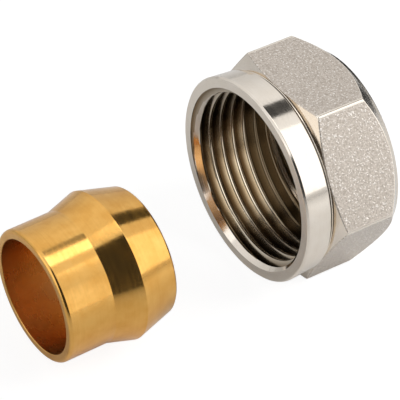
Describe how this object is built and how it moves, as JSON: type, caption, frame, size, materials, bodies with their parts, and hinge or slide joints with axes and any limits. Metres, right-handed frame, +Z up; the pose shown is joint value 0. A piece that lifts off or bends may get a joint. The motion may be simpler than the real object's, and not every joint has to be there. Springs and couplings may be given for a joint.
{
  "type": "compression fitting nut and ring",
  "caption": "Nickel-plated hexagonal union nut with internal pipe thread, laid out with its turned brass compression ring for copper pipe.",
  "frame": {"origin": "on the floor, below the middle of the box round both pieces", "axes": "+Z up; +Y along the line of both pieces, from the ring towards the back of the nut; +X to the right when looking into the mouth of the nut"},
  "size_m": [0.0324, 0.0492, 0.029],
  "materials": {
    "nickel_plated_brass": "nickel plate over brass, shot-blasted flats, bright turned faces",
    "turned_brass": "bright turned brass"
  },
  "bodies": {
    "root": {"union_nut": "nickel_plated_brass", "compression_ring": "turned_brass"}
  },
  "joints": []
}
